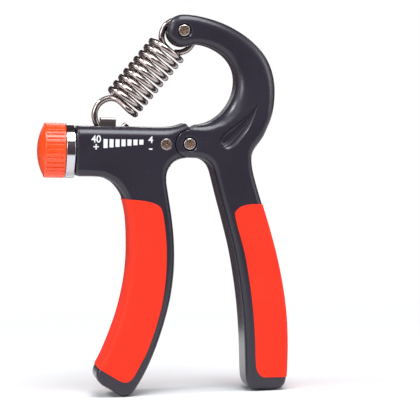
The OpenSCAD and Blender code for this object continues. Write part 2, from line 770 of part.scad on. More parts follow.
// Shift that puts the feet at height 0 and the middle of the width at the origin
far_left = tilted([-dome_at - dome_h, -screw_drop])[0];
far_right = tilted(drawn(39.8, -75))[0] + pad_proud;
stand_shift = [-(far_left + far_right) / 2, 0, -tilted(drawn(right_foot[0], right_foot[1]))[1]];
echo(stand_shift = stand_shift);

module set_down() {
    translate(stand_shift) rotate([0, stand_tilt, 0]) children();
}

set_down() left_frame();
set_down() right_frame();
set_down() left_grip();
set_down() right_grip();
set_down() tension_spring();
set_down() pivot_pin();
set_down() pivot_washers();
set_down() anchor_pin();
set_down() cross_pin();
set_down() adjuster_knob();
set_down() knob_insert();
set_down() knob_screw();
set_down() knob_ring();
set_down() thrust_washer();
set_down() end_bush();
set_down() adjuster_screw();
set_down() screw_clip();
set_down() slider_nut();
set_down() hook_saddle();
set_down() tail_bearing();
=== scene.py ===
"""Hand grip strengthener: shapes and finishes of its visible pieces, the stage and the camera.

Pieces are modelled in millimetres with the hinge axis at the origin and the adjuster screw along X,
as in the part's source, and stand_up() then sets each one down in the frame, in metres.
"""

from math import cos, hypot, pi, radians, sin, sqrt

import bpy
from mathutils import Matrix, Vector


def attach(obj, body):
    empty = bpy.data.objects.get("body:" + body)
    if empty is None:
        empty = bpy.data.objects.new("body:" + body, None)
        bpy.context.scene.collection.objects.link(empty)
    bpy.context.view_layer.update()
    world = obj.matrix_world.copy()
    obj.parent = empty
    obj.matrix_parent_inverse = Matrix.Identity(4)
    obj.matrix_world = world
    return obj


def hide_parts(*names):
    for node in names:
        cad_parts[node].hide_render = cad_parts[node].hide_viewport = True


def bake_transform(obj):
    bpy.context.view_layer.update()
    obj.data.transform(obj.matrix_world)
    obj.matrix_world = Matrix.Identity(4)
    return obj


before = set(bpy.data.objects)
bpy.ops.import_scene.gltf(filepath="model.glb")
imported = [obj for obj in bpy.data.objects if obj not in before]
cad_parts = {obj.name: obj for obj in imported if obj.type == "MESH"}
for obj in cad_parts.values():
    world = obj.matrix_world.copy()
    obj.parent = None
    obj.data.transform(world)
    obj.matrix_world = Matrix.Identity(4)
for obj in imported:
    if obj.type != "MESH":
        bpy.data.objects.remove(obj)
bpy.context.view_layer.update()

# ---- Camera --------------------------------------------------------------------------------

scene = bpy.context.scene
CAMERA_AT = Vector((-0.098465, -0.904057, 0.113696))
CAMERA_AXES = ((0.991019, -0.130526, -0.029067), (0.03498, 0.043246, 0.998452), (-0.129067, -0.990501, 0.047424))

bpy.ops.object.camera_add()
camera = bpy.context.object
camera.name = "view_camera"
turned = Matrix([[axis[i] for axis in CAMERA_AXES] for i in range(3)]).to_4x4()
camera.matrix_world = Matrix.Translation(CAMERA_AT) @ turned
camera.data.sensor_fit = "HORIZONTAL"
camera.data.angle = radians(10.2666)
camera.data.clip_start = 0.05
camera.data.clip_end = 20
scene.camera = camera

# ---- Sizes of the object, in millimetres ---------------------------------------------------

HALF_T = 10.5
EDGE_R = 2.8
ARM_HALF_T = 7
HEAD_R = 6.3
HOUSE_TOP = 6.2
HOUSE_BOTTOM = -13.2
HOUSE_L = 43.5
SCREW_Z = -3.5
CHEEK_R = 5.4
HINGE_GAP = 0.3
TONGUE_T = 10
PIN_R = 2.2
RIVET_SUNK = 0.1
CHANNEL_HALF = 5.6
PAD_T = 2.4
PAD_PROUD = 0.25
PAD_BORDER = 3.2
PAD_EDGE = 0.25
PIVOT = (0, 0)
CROSS = (-9.1, -0.3)
ANCHOR = (-2.5, 43.7)
HOOK = (-29.5, 10.4)
WIRE_D = 2.4
SLOT_W = 7.4
KNOB_AT = 47.5
KNOB_R = 10.6
STAND_TILT = radians(2.76)
STAND = Matrix.Translation((0.0109543, 0, 0.0966472)) @ Matrix.Rotation(STAND_TILT, 4, "Y") @ Matrix.Scale(0.001, 4)


# ---- Small tools ---------------------------------------------------------------------------

def select_only(piece):
    if bpy.context.mode != "OBJECT":
        bpy.ops.object.mode_set(mode="OBJECT")
    bpy.ops.object.select_all(action="DESELECT")
    piece.select_set(True)
    bpy.context.view_layer.objects.active = piece


def apply_modifier(piece, kind, **settings):
    select_only(piece)
    modifier = piece.modifiers.new(kind.lower(), kind)
    for key, value in settings.items():
        setattr(modifier, key, value)
    bpy.ops.object.modifier_apply(modifier=modifier.name)


def carve(piece, *tools, how="DIFFERENCE"):
    """Cuts solids from a piece, or joins them to it, and removes them."""
    for tool in tools:
        apply_modifier(piece, "BOOLEAN", operation=how, solver="EXACT", object=tool)
        bpy.data.objects.remove(tool)
    return piece


def tidy_mesh(piece, close=0.0005):
    """Joins points that lie closer than the distance given, and turns the faces outwards."""
    select_only(piece)
    bpy.ops.object.mode_set(mode="EDIT")
    bpy.ops.mesh.select_all(action="SELECT")
    bpy.ops.mesh.remove_doubles(threshold=close)
    bpy.ops.mesh.normals_make_consistent(inside=False)
    bpy.ops.object.mode_set(mode="OBJECT")


def soften(piece, width, smooth=34):
    """Rounds the cut edges a little and shades the rest smoothly."""
    if width:
        tidy_mesh(piece, close=0.08)
        apply_modifier(piece, "BEVEL", width=width, segments=2, limit_method="ANGLE",
                       angle_limit=radians(48), use_clamp_overlap=False)
    select_only(piece)
    bpy.ops.object.shade_smooth_by_angle(angle=radians(smooth))
    apply_modifier(piece, "WEIGHTED_NORMAL", mode="FACE_AREA_WITH_ANGLE", weight=50, keep_sharp=True)


def round_edges(piece, wanted, width, segments):
    """Rounds those edges whose two ends both pass a test."""
    select_only(piece)
    bpy.ops.object.mode_set(mode="EDIT")
    bpy.ops.mesh.select_mode(type="EDGE")
    bpy.ops.mesh.select_all(action="DESELECT")
    bpy.ops.object.mode_set(mode="OBJECT")
    for edge in piece.data.edges:
        edge.select = all(wanted(piece.data.vertices[i].co) for i in edge.vertices)
    bpy.ops.object.mode_set(mode="EDIT")
    bpy.ops.mesh.bevel(offset=width, segments=segments, affect="EDGES", clamp_overlap=False)
    bpy.ops.mesh.select_mode(type="VERT")
    bpy.ops.object.mode_set(mode="OBJECT")
    tidy_mesh(piece)


def stand_up(piece, body, slot, *nodes):
    """Sets a piece that was modelled in millimetres down in the frame, on its body."""
    select_only(piece)
    bpy.ops.object.transform_apply(location=True, rotation=True, scale=True)
    piece.matrix_world = STAND
    bpy.ops.object.transform_apply(location=True, rotation=True, scale=True)
    settle(piece, body, slot, *nodes)


def settle(piece, body, slot, *nodes):
    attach(piece, body)
    if nodes:
        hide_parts(*nodes)


def slab(name, outline, y0, y1):
    """An outline in X and Z carried from y0 to y1."""
    bpy.ops.mesh.primitive_circle_add(vertices=len(outline), radius=1, fill_type="NGON")
    piece = bpy.context.object
    piece.name = name
    for vertex, (x, z) in zip(piece.data.vertices, outline):
        vertex.co = (x, y0, z)
    bpy.ops.object.mode_set(mode="EDIT")
    bpy.ops.mesh.select_all(action="SELECT")
    bpy.ops.mesh.extrude_region_move(TRANSFORM_OT_translate={"value": (0, y1 - y0, 0)})
    bpy.ops.mesh.select_all(action="SELECT")
    bpy.ops.mesh.normals_make_consistent(inside=False)
    bpy.ops.object.mode_set(mode="OBJECT")
    return piece


def pin(x, z, r, y0, y1, sides=96):
    """A cylinder across the levers."""
    bpy.ops.mesh.primitive_cylinder_add(vertices=sides, radius=r, depth=y1 - y0,
                                        location=(x, (y0 + y1) / 2, z), rotation=(pi / 2, 0, 0))
    piece = bpy.context.object
    bpy.ops.object.transform_apply(location=True, rotation=True, scale=True)
    return piece


def cone(x, z, r0, r1, y0, y1, sides=96):
    """A cone across the levers, of radius r0 at y0 and r1 at y1."""
    bpy.ops.mesh.primitive_cone_add(vertices=sides, radius1=r0, radius2=r1, depth=y1 - y0,
                                    location=(x, (y0 + y1) / 2, z), rotation=(-pi / 2, 0, 0))
    piece = bpy.context.object
    bpy.ops.object.transform_apply(location=True, rotation=True, scale=True)
    return piece


def bore(place, r, y0, y1, face, width):
    """Cutter of a round hole whose edge is broken where it comes through a side face."""
    piece = pin(*place, r, y0, y1)
    select_only(piece)
    bpy.ops.object.mode_set(mode="EDIT")
    for y in (-face, width - face, face - width, face):
        bpy.ops.mesh.select_all(action="SELECT")
        bpy.ops.mesh.bisect(plane_co=(0, y, 0), plane_no=(0, 1, 0))
    bpy.ops.object.mode_set(mode="OBJECT")
    for vertex in piece.data.vertices:
        if abs(vertex.co.y) > face - 1e-4:
            vertex.co.x = place[0] + (vertex.co.x - place[0]) * (r + width) / r
            vertex.co.z = place[1] + (vertex.co.z - place[1]) * (r + width) / r
    return piece


def block(low, high):
    bpy.ops.mesh.primitive_cube_add(size=1, location=[(a + b) / 2 for a, b in zip(low, high)])
    piece = bpy.context.object
    piece.scale = [b - a for a, b in zip(low, high)]
    bpy.ops.object.transform_apply(location=True, rotation=True, scale=True)
    return piece


def spun(name, profile, centre, axis, steps=96):
    """A turned piece: profile gives [distance along axis, radius] pairs from end to end."""
    axis = Vector(axis).normalized()
    side = axis.orthogonal().normalized()
    bpy.ops.mesh.primitive_circle_add(vertices=len(profile), radius=1)
    piece = bpy.context.object
    piece.name = name
    for vertex, (along, r) in zip(piece.data.vertices, profile):
        vertex.co = Vector(centre) + axis * along + side * r
    bpy.ops.object.mode_set(mode="EDIT")
    bpy.ops.mesh.select_all(action="SELECT")
    bpy.ops.mesh.spin(steps=steps, angle=2 * pi, center=centre, axis=axis)
    bpy.ops.object.mode_set(mode="OBJECT")
    tidy_mesh(piece)
    return piece


# ---- Curves --------------------------------------------------------------------------------

def between(a, b, c, d, t):
    return [0.5 * (2 * q + (r - p) * t + (2 * p - 5 * q + 4 * r - s) * t * t + (3 * q - p - 3 * r + s) * t ** 3)
            for p, q, r, s in zip(a, b, c, d)]


def smooth_loop(knots, steps):
    n = len(knots)
    return [between(knots[i - 1], knots[i], knots[(i + 1) % n], knots[(i + 2) % n], k / steps)
            for i in range(n) for k in range(steps)]


def smooth_rows(rows, steps):
    n = len(rows)
    return [between(rows[max(i - 1, 0)], rows[i], rows[i + 1], rows[min(i + 2, n - 1)], k / steps)
            for i in range(n - 1) for k in range(steps)] + [list(rows[-1])]


def unit(x, z):
    length = hypot(x, z)
    return x / length, z / length


def toward(a, b, distance):
    dx, dz = unit(b[0] - a[0], b[1] - a[1])
    return a[0] + dx * distance, a[1] + dz * distance


def inset_point(points, i, d):
    """Point i of an outline that runs anticlockwise, moved inwards by d."""
    (px, pz), (x, z), (nx, nz) = points[i - 1], points[i], points[(i + 1) % len(points)]
    ax, az = unit(x - px, z - pz)
    bx, bz = unit(nx - x, nz - z)
    ix, iz = unit(-az - bz, ax + bx)
    stretch = max(0.7, ix * -az + iz * ax)
    return x + ix * d / stretch, z + iz * d / stretch


def inset(points, d):
    """A closed outline moved inwards by d, for points that run anticlockwise."""
    return [inset_point(points, i, d) for i in range(len(points))]


def tube(name, rings):
    """A closed tube through rings of equally many points, with flat ends."""
    around = len(rings[0])
    bpy.ops.mesh.primitive_grid_add(x_subdivisions=around, y_subdivisions=len(rings) - 1, size=1)
    piece = bpy.context.object
    piece.name = name
    for j, ring in enumerate(rings):
        for i in range(around + 1):
            piece.data.vertices[j * (around + 1) + i].co = ring[i % around]
    bpy.ops.object.mode_set(mode="EDIT")
    bpy.ops.mesh.select_all(action="SELECT")
    bpy.ops.mesh.remove_doubles(threshold=0.0005)
    bpy.ops.mesh.select_all(action="DESELECT")
    bpy.ops.mesh.select_mode(type="EDGE")
    bpy.ops.mesh.select_non_manifold()
    bpy.ops.mesh.edge_face_add()
    bpy.ops.mesh.select_mode(type="VERT")
    bpy.ops.object.mode_set(mode="OBJECT")
    tidy_mesh(piece)
    return piece


def rounded_slab(name, knots, grow, steps=12):
    """A smooth outline of x, z and edge radius, carried to even thickness and grown all round."""
    knots = smooth_loop(knots, 6)
    for _ in range(8):
        knots = [tuple((a + 2 * b + c) / 4 for a, b, c in zip(knots[i - 1], knot, knots[(i + 1) % len(knots)]))
                 if knot[1] > -15 else knot for i, knot in enumerate(knots)]
    outline = [point[:2] for point in knots]
    if grow:
        outline = inset(outline, -grow)
    half = HALF_T + grow
    rings = []
    for k in range(steps + 1):
        a = pi / 2 * k / steps
        moved = [inset_point(outline, i, knots[i][2] * (1 - sin(a))) for i in range(len(outline))]
        rings.append([(x, -half + knot[2] * (1 - cos(a)), z) for (x, z), knot in zip(moved, knots)])
    rings += [[(x, -y, z) for x, y, z in ring] for ring in rings[::-1]]
    return tube(name, rings)


# ---- Left lever ----------------------------------------------------------------------------

LEFT_ROWS = [
    (-8.7, -14, -28.4, -16), (-7.6, -21, -24.8, -21), (-6.4, -28, -23, -28), (-5.4, -36, -22.3, -36.5),
    (-5, -44, -22.3, -46), (-5.3, -52, -23.3, -55.5), (-6.5, -61, -25.6, -66), (-8.8, -70.5, -28.6, -75),
    (-11.9, -80, -31.6, -82.5)]
LEFT_INNER = [row[:2] for row in LEFT_ROWS]
LEFT_OUTER = [row[2:] for row in LEFT_ROWS]
LEFT_FOOT = [(-34.2, -88.1), (-34.4, -91), (-32.5, -93.4), (-29.5, -95.1), (-26.4, -96.9), (-24, -97.88),
             (-21.5, -97.3), (-19.5, -95.3), (-15.6, -88.5)]
# Outline of the lever: x, z and the radius of its rounded edge there
LEFT_KNOTS = (
    [(x, z, EDGE_R) for x, z in (
        [(-HOUSE_L - 16, HOUSE_BOTTOM), (-HOUSE_L - 5.7, HOUSE_BOTTOM), (-HOUSE_L + 4.5, HOUSE_BOTTOM),
         (-33.2, HOUSE_BOTTOM - 0.2)] + LEFT_OUTER)]
    + [(x, z, 2) for x, z in LEFT_FOOT]
    + [(x, z, EDGE_R) for x, z in LEFT_INNER[::-1] + [(-8.2, -10.4), (-6.4, -7.5), (-3.5, -5.9)]]
    + [(0, -CHEEK_R, 2), (4, -CHEEK_R, 2), (8, -4, 2), (9.5, 0, 2), (8.6, 5, 2)]
    + [(4.4, HOUSE_TOP + 2.6, 2), (0.5, HOUSE_TOP + 2.3, 2), (-2, HOUSE_TOP + 1.4, 2.4), (-5, HOUSE_TOP + 0.5, 3.2)]
    + [(x, HOUSE_TOP, 4.4) for x in (-9, -16, -30, -HOUSE_L + 4.5, -HOUSE_L - 5.7)]
    + [(-HOUSE_L - 16, HOUSE_TOP, 3.6), (-HOUSE_L - 22, HOUSE_TOP - 5, EDGE_R), (-HOUSE_L - 24, SCREW_Z, EDGE_R),
       (-HOUSE_L - 22, HOUSE_BOTTOM + 5, EDGE_R)])
V_ROOT = (0.4, CHEEK_R + 0.1)
BEYOND_LEFT = [(V_ROOT[0] - 0.3, -30), (V_ROOT[0] - 0.3, V_ROOT[1]), (V_ROOT[0] - 2.6, V_ROOT[1] + 3.2),
               (V_ROOT[0] - 2.6, 30), (50, 30), (50, -30)]
BEYOND_RIGHT = [(V_ROOT[0], -30), (V_ROOT[0], V_ROOT[1]), (V_ROOT[0] + 3.4, V_ROOT[1] + 1.9),
                (V_ROOT[0] + 3.4, 20), (-50, 20), (-50, -30)]
LEFT_PAD = smooth_rows(
    [(-40, -20.5), (-24, -21.7), (-17, -22.3), (-12.4, -23.6), (-10.1, -26.4)]
    + [toward(LEFT_INNER[i], LEFT_OUTER[i], PAD_BORDER) for i in range(3, len(LEFT_ROWS))]
    + [(-17.4, -85.1), (-20, -90), (-22.2, -92.2), (-24.9, -92.1), (-30, -89.3), (-42, -82.2)], 5) + [[-60, -60]]
LEFT_CORE = [(20, -10), (-30, -10)] + [(x + PAD_T, z + 0.2) for x, z in smooth_rows(
    LEFT_OUTER + [LEFT_FOOT[0], LEFT_FOOT[2]], 5)] + [(-20, -104), (20, -104)]


def pad_bed(pad, core):
    bed = slab("bed", pad, -HALF_T - 1, HALF_T + 1)
    return carve(bed, slab("core", core, PAD_T - HALF_T, HALF_T - PAD_T))


def inlay(body, pad, core):
    """What a rubber inlay is: the grown lever within the pad's outline, less the lever's core."""
    carve(body, slab("pad", pad, -HALF_T - 1, HALF_T + 1), how="INTERSECT")
    return carve(body, slab("core", core, PAD_T - HALF_T, HALF_T - PAD_T))


def left_lever():
    lever = rounded_slab("left_lever_moulding", LEFT_KNOTS, 0)
    carve(lever, block((-HOUSE_L - 30, -15, HOUSE_BOTTOM - 3), (-HOUSE_L, 15, HOUSE_TOP + 3)))
    round_edges(lever, lambda co: abs(co.x + HOUSE_L) < 1e-3, 1.0, 5)
    beyond = slab("beyond", BEYOND_LEFT, -HALF_T - 1, HALF_T + 1)
    carve(beyond, pin(*PIVOT, CHEEK_R, -TONGUE_T / 2, TONGUE_T / 2))
    for y0, y1 in ((TONGUE_T / 2, HALF_T + 2), (-HALF_T - 2, -TONGUE_T / 2)):
        carve(beyond, bore(PIVOT, CHEEK_R + HINGE_GAP, y0, y1, HALF_T, 0.25), how="UNION")
    carve(lever, beyond)
    carve(lever, pin(*PIVOT, PIN_R + 0.05, -12, 12), bore(CROSS, PIN_R, -12, 12, HALF_T, 0.2))
    carve(lever, block((-HOUSE_L - 1, -CHANNEL_HALF, SCREW_Z - CHANNEL_HALF),
                       (-6.6, CHANNEL_HALF, SCREW_Z + CHANNEL_HALF)))
    ends = (-38.4 + SLOT_W / 2, -10.5 - SLOT_W / 2)
    arc = [(radians(a)) for a in range(-90, 91, 10)]
    slot_outline = ([(ends[1] + SLOT_W / 2 * cos(a), SLOT_W / 2 * sin(a)) for a in arc]
                    + [(ends[0] - SLOT_W / 2 * cos(a), -SLOT_W / 2 * sin(a)) for a in arc])
    slot = slab("slot", slot_outline, 0, 14)
    slot.rotation_euler = (pi / 2, 0, 0)
    slot.location = (0, 0, SCREW_Z)
    select_only(slot)
    bpy.ops.object.transform_apply(location=True, rotation=True, scale=True)
    tidy_mesh(slot)
    carve(lever, slot)
    carve(lever, pad_bed(LEFT_PAD, LEFT_CORE))
    soften(lever, 0)
    return lever


# ---- Right lever ---------------------------------------------------------------------------

# Inner x, inner z, outer x, outer z
RIGHT_HANDLE = [
    (28.2, -95.29, 35.4, -94.95), (25.6, -94.6, 37.9, -94.1), (24.1, -92.4, 39.4, -92), (23.6, -89, 39.79, -88.6),
    (23.3, -83, 39.89, -83), (22.9, -75, 39.8, -75), (22, -64.5, 39.1, -65), (20.4, -53, 37.4, -54),
    (18.1, -41, 34.8, -42.5), (15.2, -30, 31.6, -31.5), (12.5, -20.5, 28.2, -21), (10.6, -13.5, 25.7, -13)]
# Outline of the lever: x, z and the radius of its rounded edge there
ARM_OUTER = [
    (24.7, -8.8, 2.8), (24.4, -5.6, 2.8), (24.6, -3.6, 2.8), (25.3, -1.8, 2.8), (26.7, 0.2, 2.8), (28.3, 2.4, 2.8),
    (29.4, 4.4, 2.9), (30.6, 7.2, 3.1), (32.3, 11.4, 3.4), (33.3, 17, 4), (33.4, 23.3, 4.4), (32.2, 29.2, 4.6),
    (29.7, 34.4, 4.6), (25.6, 39.1, 4.6), (19.8, 43.5, 4.4), (12.9, 46.9, 4), (6.4, 48.8, 3.8), (1.6, 49.7, 3.6)]
ARM_HEAD = [(ANCHOR[0] + HEAD_R * cos(radians(a)), ANCHOR[1] + HEAD_R * sin(radians(a)), 3.6)
            for a in range(95, 300, 21)]
ARM_INNER = [
    (1.9, 38.6, 3), (5.6, 38.3, 3.2), (9.9, 36.8, 3.7), (14.2, 33.9, 4.3), (17.2, 29.8, 4.8), (18.3, 24.8, 5.2),
    (17.6, 19.3, 5.4), (15.1, 14.2, 5.4), (11.2, 10.1, 4.8), (6.3, 7.7, 3.6), (1.2, 7.2, 2.6), (-5, 6.9, 2.6),
    (-11, 5.5, 2.8), (-12.5, 0.6, 2.8), (-11, -4.2, 2.8), (-5, -5.5, 2.8), (3.4, -5.4, 2.8), (7, -6.6, 2.8),
    (9.3, -9.2, 2.8)]
RIGHT_KNOTS = ([(row[0], row[1], EDGE_R if row[1] > -93 else 2) for row in RIGHT_HANDLE[::-1]]
               + [(row[2], row[3], EDGE_R if row[1] > -93 else 2) for row in RIGHT_HANDLE]
               + ARM_OUTER + ARM_HEAD + ARM_INNER)
# Height and the half thickness of the lever there, which is even between the first foot and arm heights
THICKNESS = [(-95.4, 9), (-94.4, 9.75), (-93, 10.3), (-91, 10.5), (5, 10.5), (7, 10.45), (9, 10.25), (12, 9.8),
             (15.5, 9.2), (18, 8.83), (21, 8.4), (24, 8.03), (27, 7.7), (30, 7.42), (33, 7.18), (36, 7.03), (38, 7),
             (60, 7)]
RIGHT_PAD = smooth_rows(
    [(45, -22.5), (29.5, -22.8), (22.5, -23.2), (18.8, -25.2), (18.3, -28.6)]
    + [toward(RIGHT_HANDLE[i][:2], RIGHT_HANDLE[i][2:4], PAD_BORDER + 0.7) for i in (8, 7, 6, 5, 4)]
    + [(27.8, -87.4), (29.9, -89.9), (34, -90.1), (50, -89.7)], 5) + [[60, -60]]
RIGHT_CORE = [(0, -8), (28, -8)] + [(RIGHT_HANDLE[i][2] - PAD_T, RIGHT_HANDLE[i][3]) for i in range(11, 1, -1)] \
    + [(34, -97), (0, -97)]
# Scoop in the arm: upper edge, deepest line and lower edge from its round end to its tip, with the depth
SCOOP = [
    ((11.5, 0.9), (11.8, 0.3), (12.3, -0.6), 0.5), ((11.6, 2.2), (12.5, 0.8), (14.2, -1.9), 1.5),
    ((12.8, 4.3), (14.2, 2.7), (17.4, -0.6), 2.0), ((16.4, 7.1), (17.3, 5.7), (20.6, 3.1), 2.0),
    ((20.4, 10.1), (21, 9.3), (23.4, 7.4), 1.5), ((24, 13.3), (24.3, 12.9), (25.4, 12), 0.8),
    ((26.1, 15.5), (26.2, 15.4), (26.4, 15.3), 0.25)]


def half_thickness(z):
    for (z0, h0), (z1, h1) in zip(THICKNESS, THICKNESS[1:]):
        if z <= z1:
            t = min(max((z - z0) / (z1 - z0), 0), 1)
            return h0 + (h1 - h0) * t
    return THICKNESS[-1][1]


def right_body(name, grow):
    """The slab of the lever, thinned towards the foot and the spring."""
    lever = rounded_slab(name, RIGHT_KNOTS, grow)
    select_only(lever)
    bpy.ops.object.mode_set(mode="EDIT")
    for z in [-95, -94.4, -93.7, -93, -92, -91] + [5 + 2 * k for k in range(17)]:
        bpy.ops.mesh.select_all(action="SELECT")
        bpy.ops.mesh.bisect(plane_co=(0, 0, z), plane_no=(0, 0, 1))
    bpy.ops.object.mode_set(mode="OBJECT")
    for vertex in lever.data.vertices:
        vertex.co.y *= half_thickness(vertex.co.z) / HALF_T
    return lever


def scoop(side):
    """Cutter of the scoop: a steep side above, and a floor that rises to the lower edge."""
    def into(a, b, t, depth):
        return a[0] + (b[0] - a[0]) * t, side * (HALF_T - depth), a[1] + (b[1] - a[1]) * t

    rings = []
    for xu, zu, xm, zm, xl, zl, depth in smooth_rows([(*u, *m, *low, d) for u, m, low, d in SCOOP], 6):
        upper, middle, lower = (xu, zu), (xm, zm), (xl, zl)
        # What the arm's taper has already taken off
        d0 = HALF_T - half_thickness(middle[1])
        rings.append(
            [into(upper, middle, -0.12, d0 - 0.6), into(upper, middle, 0, d0 + 0.02)]
            + [into(upper, middle, t, d0 + depth * f) for t, f in ((0.2, 0.5), (0.5, 0.85), (0.8, 0.98))]
            + [into(middle, lower, t, d0 + depth * f) for t, f in (
                (0.15, 1), (0.28, 0.99), (0.34, 0.93), (0.54, 0.52), (0.6, 0.44), (0.68, 0.41), (0.76, 0.39),
                (0.82, 0.33), (0.95, 0.1), (1, 0.02), (1.1, -0.3))])
    return tube("scoop", rings)


def right_lever():
    lever = right_body("right_lever_moulding", 0)
    beyond = slab("beyond", BEYOND_RIGHT, -HALF_T - 1, HALF_T + 1)
    edge = 0.25
    carve(beyond, pin(*PIVOT, CHEEK_R, -HALF_T + edge, HALF_T - edge),
          cone(*PIVOT, CHEEK_R - 3, CHEEK_R, -HALF_T - 3 + edge, -HALF_T + edge),
          cone(*PIVOT, CHEEK_R, CHEEK_R - 3, HALF_T - edge, HALF_T + 3 - edge))
    carve(lever, beyond, pin(*PIVOT, CHEEK_R + HINGE_GAP, -TONGUE_T / 2 - 0.45, TONGUE_T / 2 + 0.45))
    carve(lever, pin(*PIVOT, PIN_R, -12, 12), pin(*ANCHOR, PIN_R + 0.05, -12, 12))
    for side in (-1, 1):
        for place, face in ((PIVOT, HALF_T), (ANCHOR, ARM_HALF_T)):
            carve(lever, bore(place, PIN_R + 0.65, *sorted((side * (face - 1.2), side * (face + 1))), face, 0.3))
        carve(lever, scoop(side))
    carve(lever, pin(*ANCHOR, 9.6, -1.5, 1.5))
    carve(lever, pad_bed(RIGHT_PAD, RIGHT_CORE))
    soften(lever, 0)
    return lever


# ---- Spring --------------------------------------------------------------------------------

COIL_R = 6.7
LOOP_R = 6.3
HOOK_R = 6.66
BEND = 60
COIL_TURNS = 9
LAST_ANGLE = 90 + COIL_TURNS * 360
COIL_SPAN = (COIL_TURNS + 0.5) * 3.06
LOOP_MID = LOOP_R - WIRE_D / 2 - PIN_R - 0.1
HOOK_MID = hypot(HOOK[0] - ANCHOR[0], HOOK[1] - ANCHOR[1])


def ease(t):
    t = min(max(t, 0), 1)
    return t * t * (3 - 2 * t)


def wire_point(a):
    """A point of the spring's wire at angle a, from the hook's tip to the loop's tip."""
    h = ease((-90 + BEND - a) / (2 * BEND))
    loop = ease((a - LAST_ANGLE + BEND) / (2 * BEND))
    r = COIL_R + h * (HOOK_R - COIL_R) + loop * (LOOP_R - COIL_R)
    flat = h + loop
    down = 8.4 + COIL_SPAN * (LAST_ANGLE - a) / (LAST_ANGLE + 90)
    c, s = cos(radians(a)), sin(radians(a))
    across, through = r * c, r * s * (1 - flat)
    along = (1 - flat) * down + h * (HOOK_MID + HOOK_R * s) + loop * (LOOP_MID + LOOP_R * s)
    dx, dz = unit(HOOK[0] - ANCHOR[0], HOOK[1] - ANCHOR[1])
    return ANCHOR[0] + dx * along - dz * across, through, ANCHOR[1] + dz * along + dx * across


def spring():
    points = [wire_point(a) for a in range(-370, LAST_ANGLE + 336, 7)]
    bpy.ops.curve.primitive_nurbs_path_add()
    wire = bpy.context.object
    wire.name = "extension_spring"
    wire.data.splines.clear()
    line = wire.data.splines.new("POLY")
    line.points.add(len(points) - 1)
    for spot, place in zip(line.points, points):
        spot.co = (*place, 1)
    wire.data.bevel_depth = WIRE_D / 2
    wire.data.bevel_resolution = 6
    wire.data.use_fill_caps = True
    wire.data.dimensions = "3D"
    select_only(wire)
    bpy.ops.object.convert(target="MESH")
    wire = bpy.context.object
    bpy.ops.object.shade_smooth_by_angle(angle=radians(50))
    return wire


# ---- Knob and ring -------------------------------------------------------------------------

FLUTES = 34
# Places across one flute where its section has a point: a flat ridge and a narrow groove
FLUTE_AT = (0, 0.2, 0.29, 0.34, 0.39, 0.445, 0.5, 0.555, 0.61, 0.66, 0.71, 0.8, 1)


def knob():
    """One fluted sector of the knob, copied round the screw's axis."""
    lip, flute_l, band, dome_h = 0.6, 6.8, 0.7, 2.6
    bore_r, bore_l = 6.0, 8.25
    rim = KNOB_R - 0.5
    ball = (rim * rim + dome_h * dome_h) / (2 * dome_h)
    end = lip + flute_l
    # Distance from the knob's back, radius, depth of the flutes
    rows = [(bore_l, 0.0, 0), (bore_l, bore_r, 0), (0.0, bore_r, 0), (0.0, 6.6, 0), (0.0, 9.9, 0),
            (0.08, 10.35, 0), (0.25, 10.55, 0),
            (0.45, KNOB_R, 0), (lip, KNOB_R, 0), (lip + 0.12, KNOB_R, 0.75), (lip + 0.3, KNOB_R, 1)]
    rows += [(lip + 0.3 + (flute_l - 0.6) * k / 3, KNOB_R, 1) for k in (1, 2)]
    rows += [(end - 0.3, KNOB_R, 1), (end - 0.12, KNOB_R, 0.75), (end, KNOB_R, 0.05), (end + 0.2, KNOB_R, 0),
             (end + band - 0.35, KNOB_R - 0.02, 0), (end + band - 0.12, KNOB_R - 0.16, 0),
             (end + band + 0.04, KNOB_R - 0.42, 0)]
    for k in range(1, 13):
        r = (rim - 0.15) * (1 - k / 12)
        rows.append((end + band + sqrt(ball * ball - r * r) - (ball - dome_h), max(r, 0.0), 0))
    sector = 2 * pi / FLUTES
    bpy.ops.mesh.primitive_grid_add(x_subdivisions=len(FLUTE_AT) - 1, y_subdivisions=len(rows) - 1, size=1)
    piece = bpy.context.object
    piece.name = "fluted_knob"
    for j, (along, r, cut) in enumerate(rows):
        for i, u in enumerate(FLUTE_AT):
            radius = r - cut * 0.18 * (1 + cos(pi * min(abs(u - 0.5) / 0.21, 1)))
            a = sector * u
            piece.data.vertices[j * len(FLUTE_AT) + i].co = (
                -KNOB_AT - along, radius * cos(a), SCREW_Z + radius * sin(a))
    bpy.ops.object.mode_set(mode="EDIT")
    bpy.ops.mesh.select_all(action="SELECT")
    bpy.ops.mesh.spin(steps=FLUTES - 1, dupli=True, angle=2 * pi * (FLUTES - 1) / FLUTES,
                      center=(-KNOB_AT, 0, SCREW_Z), axis=(1, 0, 0))
    bpy.ops.object.mode_set(mode="OBJECT")
    tidy_mesh(piece)
    soften(piece, 0, smooth=30)
    return piece


def chrome_ring():
    a, b, r, inner = HOUSE_L + 0.3, KNOB_AT, 10.5, 7.5
    profile = [(a, inner), (a, r - 0.55), (a + 0.1, r - 0.22), (a + 0.28, r - 0.04), (a + 0.45, r),
               (b - 0.45, r), (b - 0.28, r - 0.04), (b - 0.1, r - 0.22), (b, r - 0.55), (b, inner)]
    piece = spun("chrome_ring", profile, (0, 0, SCREW_Z), (-1, 0, 0), 128)
    soften(piece, 0, smooth=40)
    return piece


# ---- Rivets, saddle and scale --------------------------------------------------------------

